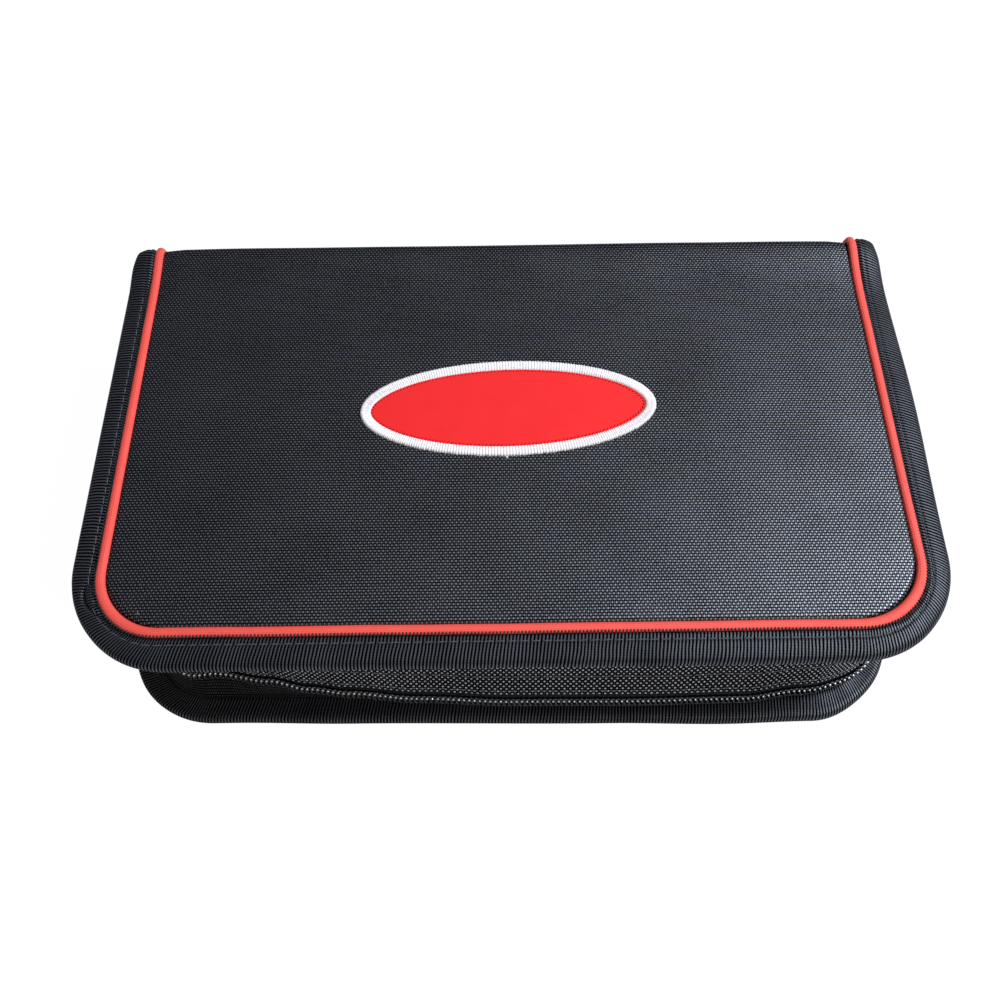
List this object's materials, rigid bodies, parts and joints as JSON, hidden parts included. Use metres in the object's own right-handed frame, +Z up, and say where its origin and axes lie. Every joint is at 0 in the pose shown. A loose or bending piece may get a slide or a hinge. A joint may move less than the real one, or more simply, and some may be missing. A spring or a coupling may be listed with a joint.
{
  "type": "travel tile game case",
  "caption": "Zip-around fabric folio case for a travel tile game: bound and piped covers on a folding spine, board halves, racks and a tile pouch inside.",
  "frame": {"origin": "on the ground under the middle of the closed case", "axes": "+X along the width of the case, +Y towards the spine, +Z up; the zip front faces -Y"},
  "size_m": [0.25, 0.148, 0.0529],
  "materials": {
    "shell_cloth": "matt black plain-woven synthetic cloth with a slight sheen",
    "binding_black": "black ribbed tape, lightly lustrous",
    "piping_red": "coral red covered cord, satin",
    "foam_layer": "thin soft padding, hidden",
    "stiffener_board": "stiff sheet, hidden",
    "lining_cloth": "dark plain lining cloth",
    "zip_tape": "black woven zip tape",
    "zip_coil": "black nylon coil",
    "zip_metal": "black enamelled die casting",
    "patch_red": "red woven cloth",
    "patch_white": "white overlocked thread",
    "board_plastic": "moulded, fine satin",
    "rivet_plastic": "black push rivets",
    "rack_plastic": "moulded, gloss",
    "pouch_cloth": "soft dark cloth, loosely filled",
    "tile_plastic": "cream, satin gloss"
  },
  "bodies": {
    "base": {"base_fabric": "shell_cloth", "base_foam": "foam_layer", "base_stiffener": "stiffener_board", "base_lining": "lining_cloth", "base_binding": "binding_black", "base_piping": "piping_red", "zip_tape_lower": "zip_tape", "zip_coil_lower": "zip_coil", "zip_end_stops": "zip_coil", "board_lower": "board_plastic", "board_lower_rivets": "rivet_plastic", "rack_1": "rack_plastic", "rack_2": "rack_plastic", "rack_3": "rack_plastic", "rack_4": "rack_plastic", "tile_pouch": "pouch_cloth", "tiles": "tile_plastic"},
    "spine": {"spine_fabric": "shell_cloth", "spine_foam": "foam_layer", "spine_stiffener": "stiffener_board", "spine_lining": "lining_cloth", "spine_binding": "binding_black", "spine_piping": "piping_red"},
    "lid": {"lid_fabric": "shell_cloth", "lid_foam": "foam_layer", "lid_stiffener": "stiffener_board", "lid_lining": "lining_cloth", "lid_binding": "binding_black", "lid_piping": "piping_red", "gusset_fabric": "shell_cloth", "gusset_lining": "lining_cloth", "zip_tape_upper": "zip_tape", "zip_coil_upper": "zip_coil", "patch_ground": "patch_red", "patch_border": "patch_white", "board_upper": "board_plastic", "board_upper_rivets": "rivet_plastic"},
    "slider": {"zip_slider": "zip_metal"},
    "pull": {"zip_pull": "zip_metal"}
  },
  "joints": [
    {"name": "spine_fold", "type": "hinge", "parent": "base", "child": "spine", "pos_m": [0, 0.07231, 0.00139], "axis": [-1, 0, 0], "range_deg": [0, 90]},
    {"name": "lid_fold", "type": "hinge", "parent": "spine", "child": "lid", "pos_m": [0, 0.07231, 0.05031], "axis": [-1, 0, 0], "range_deg": [0, 90]},
    {"name": "zip_slide", "type": "slide", "parent": "base", "child": "slider", "axis": [0, -1, 0], "range_m": [0, 0.075]},
    {"name": "pull_swing", "type": "hinge", "parent": "slider", "child": "pull", "pos_m": [0.1174, 0.04, 0.011], "axis": [0, 0, 1], "range_deg": [0, 170]}
  ]
}
